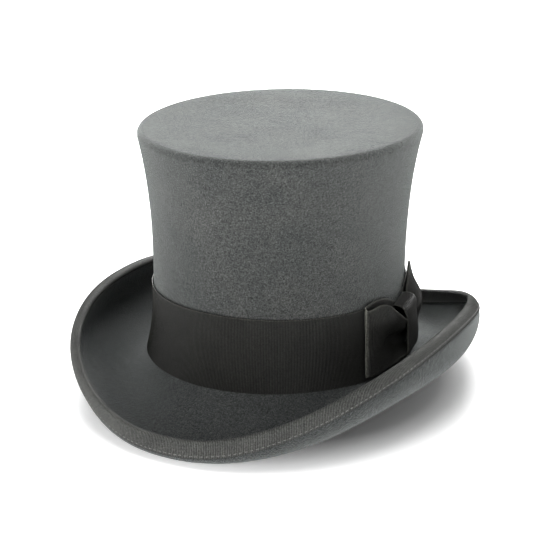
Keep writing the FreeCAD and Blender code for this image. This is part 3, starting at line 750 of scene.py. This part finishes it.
# Each step of a loop, from under the knot out to the fold and back over the top: along the band,
# bottom and top height, distance off the band at 0, 1/4, 1/2, 3/4 and all of the height.
FRONT_LOOP = [
    (1.0, 36.5, 72.0, 1.6, 1.6, 1.6, 1.6, 1.6),
    (-8.0, 33.0, 77.6, 1.4, 1.4, 1.4, 1.4, 1.4),
    (-17.0, 31.0, 81.0, 1.2, 1.2, 1.2, 1.2, 1.2),
    (-28.0, 30.4, 82.2, 1.2, 1.2, 1.2, 1.2, 1.2),
    (-36.5, 30.2, 80.8, 1.5, 1.5, 1.5, 1.5, 1.5),
    (-38.3, 30.2, 79.8, 2.4, 2.4, 2.4, 2.4, 2.4),
    (-36.5, 30.4, 78.0, 3.8, 4.0, 4.4, 4.8, 3.8),
    (-32.0, 31.0, 78.9, 5.0, 5.4, 6.8, 7.8, 5.4),
    (-26.0, 32.0, 80.2, 6.2, 6.0, 8.0, 10.2, 7.4),
    (-20.0, 33.6, 78.4, 7.4, 5.4, 6.6, 11.6, 9.8),
    (-14.0, 35.2, 71.8, 8.8, 5.0, 4.4, 11.2, 12.4),
    (-8.5, 36.4, 66.2, 10.2, 5.2, 3.4, 10.6, 13.4),
    (-4.0, 37.0, 63.4, 10.8, 6.0, 3.6, 10.0, 13.2),
    (0.5, 37.6, 62.0, 10.8, 7.0, 5.4, 9.6, 12.2),
]
BACK_LOOP = [
    (9.0, 37.0, 71.5, 1.6, 1.6, 1.6, 1.6, 1.6),
    (15.0, 36.5, 75.0, 1.4, 1.4, 1.4, 1.4, 1.3),
    (24.0, 37.0, 80.5, 1.2, 1.2, 1.2, 1.2, 1.0),
    (35.0, 38.0, 85.0, 1.2, 1.2, 1.2, 1.2, 1.0),
    (45.0, 39.5, 87.5, 1.5, 1.5, 1.5, 1.5, 1.3),
    (47.3, 40.0, 88.0, 2.4, 2.4, 2.4, 2.4, 2.0),
    (45.0, 39.5, 87.6, 3.6, 4.4, 4.8, 4.6, 2.6),
    (38.0, 38.5, 86.0, 4.8, 6.6, 7.6, 7.6, 2.4),
    (30.0, 37.6, 83.8, 6.0, 8.8, 10.6, 11.6, 2.4),
    (23.5, 37.2, 81.6, 7.0, 9.4, 11.6, 13.6, 2.6),
    (18.5, 37.4, 79.4, 8.0, 9.0, 10.6, 13.8, 3.4),
    (14.0, 38.0, 76.6, 9.0, 8.0, 8.4, 12.4, 5.0),
    (9.0, 38.6, 74.4, 9.6, 6.8, 6.0, 10.2, 7.4),
]
# The knot's closed section: off the band and height.
KNOT = [(0.9, 40), (0.9, 55), (0.9, 69), (1.5, 72.9), (4.0, 74.2), (8.0, 74.2), (11.2, 72.6),
        (13.0, 68.6), (13.7, 61), (13.7, 51), (13.0, 43.5), (11.4, 38), (8.0, 34.6), (4.0, 33.6),
        (1.5, 35.2)]
KNOT_AT, KNOT_RISE = 5.5, 0.18
LOOP_ROWS = 33


def make_loop(name, node, steps, seed, flat):
    """A loop of the bow: flat layer on the band, fold, and a full upper layer gathered in."""
    dense = through(steps, 900)
    line = beside_band(dense[:, 0], dense[:, 3:].mean(1), (dense[:, 1] + dense[:, 2]) / 2)
    _, length = evenly(dense, line, 10)
    columns = 4 * round(length / FINE_RIB) + 1
    dense, _ = evenly(dense, line, columns)
    along, low, high = dense[:, 0][None], dense[:, 1][None], dense[:, 2][None]
    off = through(dense[:, 3:], LOOP_ROWS, axis=1).T
    v = np.linspace(0, 1, LOOP_ROWS)[:, None]
    out = smooth(np.abs(along), 16, 36)
    over = smooth(np.linspace(0, 1, columns), 0.5, 0.62)[None]
    side = np.sign(steps[5][0])
    # the fold isn't quite straight, and the upper layer is crumpled towards the knot
    bend = 1.5 * (1 - v) ** 2 - 1.1 * np.sin(np.pi * v) + 0.3 * np.sin(9 * v + seed)
    along = along + side * out * bend
    crumple = (0.45 * np.sin(11 * v + 0.30 * along + seed)
               + 0.30 * np.sin(19 * v - 0.2 * along + seed))
    off = off + over * (1 - out) * crumple + 0.25 * over * np.sin(along / 5.5 + 3 * v + seed)
    z = low + (high - low) * v + 0.35 * np.sin(along / 6.5 + seed) * np.where(v > 0.5, over, 0)
    middle = beside_band(along, np.maximum(off, 0.55), z)
    normal = grid_normals(middle, around=False)
    rib = np.tile(0.5 + 0.5 * np.cos(np.arange(columns) % 4 * TURN / 4), (LOOP_ROWS, 1))
    face = middle + normal * (RIBBON / 2 + 0.09 * (rib - 0.5))[..., None]
    back = middle - normal * (RIBBON / 2 + 0.09 * (rib - 0.5))[..., None]
    grid = np.concatenate([face, back[::-1]])
    # the fold and the two selvedges are painted paler: a painted highlight where they catch the
    # light
    fold = np.exp(-((np.abs(along) - np.abs(along).max(1, keepdims=True)) / 1.0) ** 2)
    selvedge_highlight = np.exp(-((1 - np.abs(2 * v - 1)) / 0.035) ** 2) + 0 * along
    edge = np.clip(0.9 * fold + 0.5 * selvedge_highlight, 0, 1)
    obj = grid_piece(name, grid, BAND_RIBBON, around=False,
                     attributes={"rib": np.concatenate([rib, rib[::-1]]),
                                 "edge": np.concatenate([edge, edge[::-1]])})
    place(obj, "band_ribbon", [node], (flat, "gathered", ["band"]))


def make_knot():
    """Ribbon wrapped round the middle of the bow, ribs along it."""
    section = through(KNOT + KNOT[:1], 600)
    outline, length = evenly(section, section, 4 * round(106 / FINE_RIB), closed=True)
    count = len(outline)
    rib = 0.5 + 0.5 * np.cos(np.arange(count) % 4 * TURN / 4)
    off, z = outline[:, 0][None], outline[:, 1][None]
    v = np.linspace(-1, 1, 21)[:, None]
    front = smooth(off, 3, 9)
    half = 9.8 - 0.9 * front * np.exp(-((z - 55) / 12) ** 2)
    across = v * half - 0.05 * (z - 55) + 0.25 * np.sin(z / 4.0) * front
    fold = 0.35 * np.sin(z / 7.0 + 2.0 * v) + 0.20 * np.sin(z / 3.3 - 1.5 * v)
    middle = beside_band(KNOT_AT + across, off + (fold - 0.8 * v ** 4) * front,
                         z + KNOT_RISE * across)
    normal = grid_normals(middle, around=True)
    ribs = np.tile(rib, (len(v), 1))
    face = middle + normal * (RIBBON / 2 + 0.09 * (ribs - 0.5))[..., None]
    back = middle - normal * RIBBON / 2
    grid = np.concatenate([face, back[::-1]])
    # the two selvedges are painted paler: a painted highlight where they catch the light
    edge = np.exp(-((1 - np.abs(v)) / 0.05) ** 2) * 0.5 + 0 * off
    obj = grid_piece("knot", grid, BAND_RIBBON,
                     attributes={"rib": np.concatenate([ribs, ribs[::-1]]),
                                 "edge": np.concatenate([edge, edge[::-1]])})
    place(obj, "band_ribbon", ["bow_knot"], ((length * MM, 0.0196), "folded", ["band"]))


# ------------------------------------------------------------------ sweatband
def sweat_offset(z):
    """Outer face of the sweatband from the crown's outer oval."""
    spread = 1.8 * np.clip((40.0 - z) / (40.0 - SWEAT_FOOT), 0, None) ** 1.5
    return -3.4 + spread - crown_offset(z)


def make_sweatband():
    """Leather sweatband with a slit at the back, its reed, tape and seam."""
    gap = SLIT / 2 / WAIST_X
    turn = np.linspace(math.pi / 2 + gap, math.pi / 2 + TURN - gap, 361)
    levels = np.array([26.4, 26.6, 27.2, 28.0, 28.8, 29.2, 29.6, 30.4, 32, 35, 39, 44, 50, 56,
                       62, 64.5, 65.2, 65.8, 66.4, 66.8, 67.0])

    def bulge(z):
        """The reed under the leather's foot, and an embossed line near the top."""
        return (-0.25 * np.exp(-((z - REED_Z) / 0.9) ** 2)
                + 0.22 * np.exp(-((z - SEAM_Z) / 0.35) ** 2)
                + 0.25 * np.exp(-((z - SWEAT_MARK) / 0.4) ** 2))

    face, back = [], []
    for z in levels:
        wave = ripple(turn, z, 41, 0.12, 10) * smooth(z, 34, 60)
        loose = wave - 0.25 * smooth(z, 45, 67)
        face.append(oval(turn, z, sweat_offset(z) - LEATHER + bulge(z) + loose))
        back.append(oval(turn, z, sweat_offset(z) + loose))
    grid = np.concatenate([face, back[::-1]])
    dark = np.zeros(grid.shape[:2])
    dark[:3], dark[-3:] = 0.5, 0.5
    for k, z in enumerate(levels):
        dark[k] = np.maximum(dark[k], 0.6 * math.exp(-((z - SWEAT_MARK) / 0.4) ** 2))
    obj = grid_piece("sweat_leather", grid, SHEEPSKIN, around=False,
                     attributes={"edge": dark})
    place(obj, "sweatband_leather", ["sweatband"], ((0.575, 0.041), "stretched", ["crown"]))

    off = sweat_offset(REED_Z)
    round_turn, length = spread_along(lambda t: oval(t, REED_Z, off), 240)
    middle = oval(round_turn, REED_Z, off + 0.81)
    out = unit(oval(round_turn, REED_Z, 5.0) - oval(round_turn, REED_Z, 0.0))
    rows = [middle + out * REED_RADIUS * math.cos(a) + np.array([0, 0, REED_RADIUS * math.sin(a)])
            for a in np.arange(12) * TURN / 12]
    obj = grid_piece("reed", np.array(rows), REED)
    place(obj, "reed_plastic", ["sweatband_reed"])

    # the tape goes under the reed, round it and up the leather: height and offset
    path = [(REED_Z - 1.10, sweat_offset(SWEAT_FOOT) + 0.4), (27.45, off + 1.5), (27.9, off + 1.75),
            (28.6, off + 1.55)] + [(z, sweat_offset(z) + 0.5) for z in (30.2, 32.0, 34.0, 36.0)]
    dense = through(path, 200)
    line, _ = evenly(dense, dense, 17)
    centre = np.array([oval(round_turn, z, o) for z, o in line])
    normal = grid_normals(centre)
    grid = np.concatenate([centre + normal * 0.14, (centre - normal * 0.14)[::-1]])
    obj = grid_piece("seam_tape", grid, COTTON)
    place(obj, "tape_cloth", ["sweatband_tape"], ((length * MM, 0.0115), "folded", ["reed"]))

    count = round(length / 3.0)
    seam_turn, _ = spread_along(lambda t: oval(t, SEAM_Z, -4), count)
    away = np.abs((seam_turn - math.pi / 2 + math.pi) % TURN - math.pi) * WAIST_X
    seam_turn = seam_turn[away > 1.5]
    points = oval(seam_turn, SEAM_Z, sweat_offset(SEAM_Z) - LEATHER + 0.1)
    inward = -unit(oval(seam_turn, SEAM_Z, 5.0) - oval(seam_turn, SEAM_Z, 0.0))
    along = unit(oval(seam_turn + 0.01, SEAM_Z, 0) - oval(seam_turn, SEAM_Z, 0))
    obj = stitches("sweatband_stitches", points, inward, along, 2.1, 0.23, PALE_THREAD)
    place(obj, "pale_thread", ["sweatband_stitching"])


def inside_back(across, off, z):
    """Points on the sweatband's inner face at the back, `off` towards the head."""
    across, off, z = np.broadcast_arrays(across, off, z)
    return oval(math.pi / 2 + across / WAIST_X, z, sweat_offset(z) - LEATHER - off)


def make_sweatband_bow():
    """Small flat bow over the slit: two leaves and a knot, one object."""
    centre_z, half_thick = 33.9, 0.22
    points, faces = [], []

    def add(middle, n):
        grid = np.concatenate([middle + n * half_thick, (middle - n * half_thick)[::-1]])
        rows, columns = grid.shape[:2]
        base = sum(len(p) for p in points)
        points.append(grid.reshape(-1, 3))
        faces.extend(grid_faces(rows, columns, False, True, base) + end_faces(rows, columns, base))

    v = np.linspace(-1, 1, 13)[:, None]
    for side in (-1, 1):
        s = np.linspace(0, 1, 25)[None, :]
        half = 1.2 + 2.8 * np.sin(np.pi * np.minimum(1, 0.15 + 0.75 * s))
        puff = 0.75 + 0.7 * np.sin(np.pi * s) + 0.25 * np.cos(v * 5) * (1 - s)
        leaf = inside_back(side * (1.4 + 11.0 * s), puff, centre_z + v * half)
        n = grid_normals(leaf, around=False)
        add(leaf, n if n[6, 12, 1] < 0 else -n)
    s = np.linspace(-1, 1, 13)[None, :]
    wrap = inside_back(1.5 * s, 1.95 - 0.55 * s ** 2 + 0 * v, centre_z + v * 2.3)
    add(wrap, grid_normals(wrap, around=False))
    obj = new_mesh("sweatband_ribbon_bow", np.concatenate(points), faces, DARK_SATIN)
    place(obj, "trim_ribbon", ["sweatband_bow"])


# ------------------------------------------------------------------ lining
def make_lining():
    """Side lining with soft upright folds, tip lining, and the piping on their seam."""
    turn = np.arange(720) * TURN / 720
    gathers = (0.5 * np.sin(58 * turn + 1.3 * np.sin(5 * turn)) + 0.35 * np.sin(37 * turn + 2)
               + 0.15 * np.sin(91 * turn))
    rows_face, rows_back = [], []
    for s in np.linspace(0, 1, 34):
        z = LINING_FOOT + (LINING_TOP - LINING_FOOT) * s
        depth = 0.42 * (0.35 + 0.65 * smooth(s, 0.25, 0.98)) * (1 - smooth(s, 0.97, 1.0) * 0.4)
        sag = 0.5 * np.sin(np.pi * s) * (0.6 + 0.4 * np.sin(3 * turn))
        fold = gathers * depth + sag * 0.3
        off = -CROWN_FELT - 0.65 - 0.45 - fold
        rows_face.append(oval(turn, z, off - 0.15))
        rows_back.append(oval(turn, z, off + 0.15))
    grid = np.concatenate([rows_face, rows_back[::-1]])
    obj = grid_piece("side_satin", grid, SATIN)
    place(obj, "lining_satin", ["lining_side"], ((0.612, 0.141), "gathered", ["crown"]))

    inner = float(crown_offset(np.array(LINING_TOP))) - CROWN_FELT - 1.6
    reach_x, reach_y = WAIST_X + inner, WAIST_Y + inner
    ring = np.arange(240) * TURN / 240
    rows_face, rows_back = [], []
    for share in np.linspace(1, 0.01, 40):
        sag = 1.5 * (1 - share ** 2)
        pucker = 0.28 * np.sin(64 * ring + 2 * np.sin(7 * ring)) * smooth(share, 0.72, 0.99)
        wave = 0.3 * np.sin(3 * ring + 1) * share * (1 - share) * 4
        z = LINING_TOP + 0.45 - sag + pucker + wave * 0.6
        base = np.stack([reach_x * share * np.cos(ring), reach_y * share * np.sin(ring), z], -1)
        rows_face.append(base - np.array([0, 0, 0.15]))
        rows_back.append(base + np.array([0, 0, 0.15]))
    grid = np.concatenate([rows_face[::-1], rows_back])
    rows, columns = grid.shape[:2]
    faces = grid_faces(rows, columns, True, False)
    index = np.arange(rows * columns).reshape(rows, columns)
    faces += [index[0].tolist()[::-1], index[-1].tolist()]
    obj = fix_outside(new_mesh("tip_satin", grid.reshape(-1, 3), faces, SATIN))
    area = math.pi * reach_x * reach_y * MM * MM
    place(obj, "lining_satin", ["lining_tip"],
          ((2 * reach_x * MM, 2 * reach_y * MM), "stretched", ["side_satin"], area))

    piping_z = LINING_TOP - 1.0
    turn, _ = spread_along(lambda t: oval(t, piping_z, -4.6), 620)
    middle = oval(turn, piping_z, -CROWN_FELT - 2.15)
    out = unit(oval(turn, piping_z, 5.0) - oval(turn, piping_z, 0.0))
    twist = 0.06 * np.sin(np.arange(620) * TURN / 5)
    rows = [middle + out * ((0.86 + twist * math.cos(3 * a)) * math.cos(a))[:, None]
            + np.array([0, 0, 1.0]) * ((0.86 + twist * math.cos(3 * a)) * math.sin(a))[:, None]
            for a in np.arange(12) * TURN / 12]
    obj = grid_piece("seam_piping", np.array(rows), DARK_SATIN)
    place(obj, "piping_satin", ["lining_piping"])


def make_label():
    """Blank woven label sewn to the leather beside the back."""
    v = np.linspace(0, 1, 15)[:, None]
    s = np.linspace(0, 1, 15)[None, :]
    z = 35.4 + 16.0 * v + 0 * s
    lift = 0.22 + 0.10 * np.sin(np.pi * s) * np.sin(np.pi * v)
    middle = oval(math.pi / 2 + 0.30 + 0.20 * s + 0 * v, z, sweat_offset(z) - LEATHER - lift)
    n = grid_normals(middle, around=False)
    grid = np.concatenate([middle + n * 0.12, (middle - n * 0.12)[::-1]])
    obj = grid_piece("woven_label", grid, LABEL, around=False)
    place(obj, "label_cloth", ["size_label"], ((0.018, 0.016), "laid", ["sweat_leather"]))


make_crown()
make_brim()
make_binding()
make_band()
make_loop("front_loop", "bow_front_loop", FRONT_LOOP, 0.4, (0.084, 0.049))
make_loop("back_loop", "bow_back_loop", BACK_LOOP, 2.1, (0.087, 0.049))
make_knot()
make_sweatband()
make_sweatband_bow()
make_lining()
make_label()
for hidden in ("headline_stitching", "bow_tacks"):
    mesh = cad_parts[hidden].data
    mesh.materials.clear()
    mesh.materials.append(DARK_THREAD)


# ------------------------------------------------------------------ floor, light and camera
def make_floor():
    """White floor that runs on past the view; it glows except near the hat: a glowing floor with a
    painted shadow around the hat.
    """
    size = 6.0
    mesh = bpy.data.meshes.new("floor")
    mesh.from_pydata([(-size, -size, 0), (size, -size, 0), (size, size, 0), (-size, size, 0)],
                     [], [(0, 1, 2, 3)])
    n = Nodes("white_floor", Roughness=0.9, Specular_IOR_Level=0.0)
    n.shader.inputs["Base Color"].default_value = (0.93, 0.93, 0.93, 1)
    away = n.add("ShaderNodeVectorMath", operation="LENGTH")
    n.link(n.place, away.inputs[0])
    # the floor glows like a lamp away from the hat and hardly at all near it: painted light, and a
    # painted shadow under the hat
    glow_and_painted_shadow = n.ramp(n.math("MULTIPLY", away.outputs["Value"], 1 / size),
                  [(0.020, grey(0.02)), (0.031, grey(0.60)), (0.40, grey(0.62))])
    n.link(glow_and_painted_shadow, n.shader.inputs["Emission Color"])
    n.shader.inputs["Emission Strength"].default_value = 1.0
    mesh.materials.append(n.material)
    floor = bpy.data.objects.new("floor", mesh)
    bpy.context.scene.collection.objects.link(floor)


def make_light():
    """Large soft lights over and behind the hat, weaker ones in front."""
    world = bpy.data.worlds.new("studio")
    world.use_nodes = True
    tree = world.node_tree
    place = tree.nodes.new("ShaderNodeTexCoord")
    split = tree.nodes.new("ShaderNodeSeparateXYZ")
    walls = tree.nodes.new("ShaderNodeValToRGB")
    for element, position, level in zip(walls.color_ramp.elements, (0.06, 0.34), (0.60, 0.02)):
        element.position = position
        element.color = (*grey(level), 1)
    tree.links.new(place.outputs["Generated"], split.inputs["Vector"])
    tree.links.new(split.outputs["Z"], walls.inputs["Fac"])
    tree.links.new(walls.outputs["Color"], tree.nodes["Background"].inputs["Color"])
    bpy.context.scene.world = world
    for name, place_at, power in (("back", (-0.87, 1.69, 0.6), 46), ("top", (0, 0, 2.2), 23),
                                  ("top_back", (-0.60, 1.16, 1.6), 22),
                                  ("top_right", (1.16, 0.60, 1.6), 5),
                                  ("left", (-1.69, -0.87, 0.6), 1.5),
                                  ("front_left", (-0.58, -1.82, 0.6), 14),
                                  ("front_right", (1.82, -0.58, 0.6), 5)):
        light = bpy.data.lights.new(name, "AREA")
        light.shape = "SQUARE"
        light.size = 1.3
        light.energy = power
        obj = bpy.data.objects.new(name, light)
        obj.location = place_at
        aim = Vector((0, 0, 0.1)) - obj.location
        obj.rotation_euler = aim.to_track_quat("-Z", "Y").to_euler()
        bpy.context.scene.collection.objects.link(obj)


def make_camera():
    """Camera a little above the hat, to the left of its front as the wearer sees it."""
    azimuth, elevation, distance = math.radians(-63.12), math.radians(18.887), 1.11614
    pan, tilt, roll = 0.0089, -0.0085, 0.0077
    target = Vector((0, 0, 0.09414))
    flat = math.cos(elevation)
    position = target + distance * Vector((flat * math.cos(azimuth), flat * math.sin(azimuth),
                                           math.sin(elevation)))
    turned = ((target - position).to_track_quat("-Z", "Y").to_matrix()
              @ Matrix.Rotation(pan, 3, "Y") @ Matrix.Rotation(tilt, 3, "X")
              @ Matrix.Rotation(roll, 3, "Z"))
    camera = bpy.data.cameras.new("camera")
    camera.sensor_width = 36.0
    camera.lens = 103.744
    camera.clip_start, camera.clip_end = 0.05, 20.0
    obj = bpy.data.objects.new("camera", camera)
    obj.matrix_world = Matrix.Translation(position) @ turned.to_4x4()
    bpy.context.scene.collection.objects.link(obj)
    bpy.context.scene.camera = obj
    view = bpy.context.scene.view_settings
    view.view_transform = "Standard"
    view.exposure, view.gamma = 0.34, 0.85


make_floor()
make_light()
make_camera()

bpy.context.view_layer.update()
